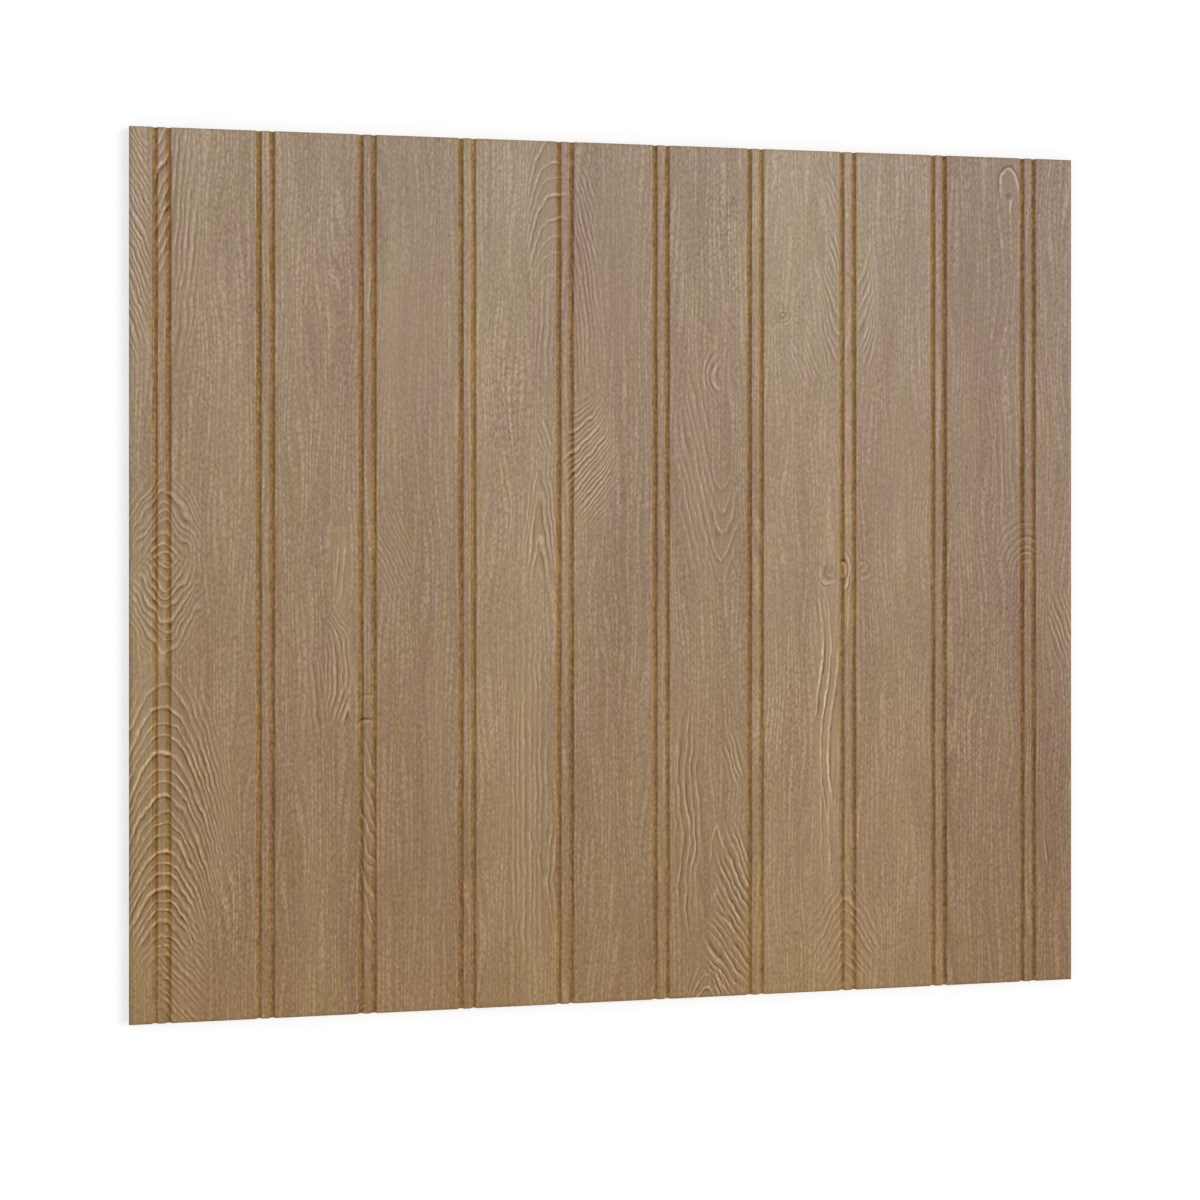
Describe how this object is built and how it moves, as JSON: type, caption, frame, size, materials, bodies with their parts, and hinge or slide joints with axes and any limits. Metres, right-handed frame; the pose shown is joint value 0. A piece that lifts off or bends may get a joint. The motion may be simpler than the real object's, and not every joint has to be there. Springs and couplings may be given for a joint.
{
  "type": "beadboard panel",
  "caption": "Flat wainscot sheet with a limed-oak face, run with evenly spaced pairs of round-bottomed grooves that leave a narrow bead between them; it lines a wall.",
  "frame": {"origin": "middle of the back face, which lies on the floor", "axes": "+X across the beads, +Y along the beads towards the panel's top edge, +Z out of the beaded face"},
  "size_m": [1, 0.9, 0.009],
  "materials": {
    "limed_oak": "matte"
  },
  "bodies": {
    "root": {"beadboard_panel": "limed_oak"}
  },
  "joints": []
}
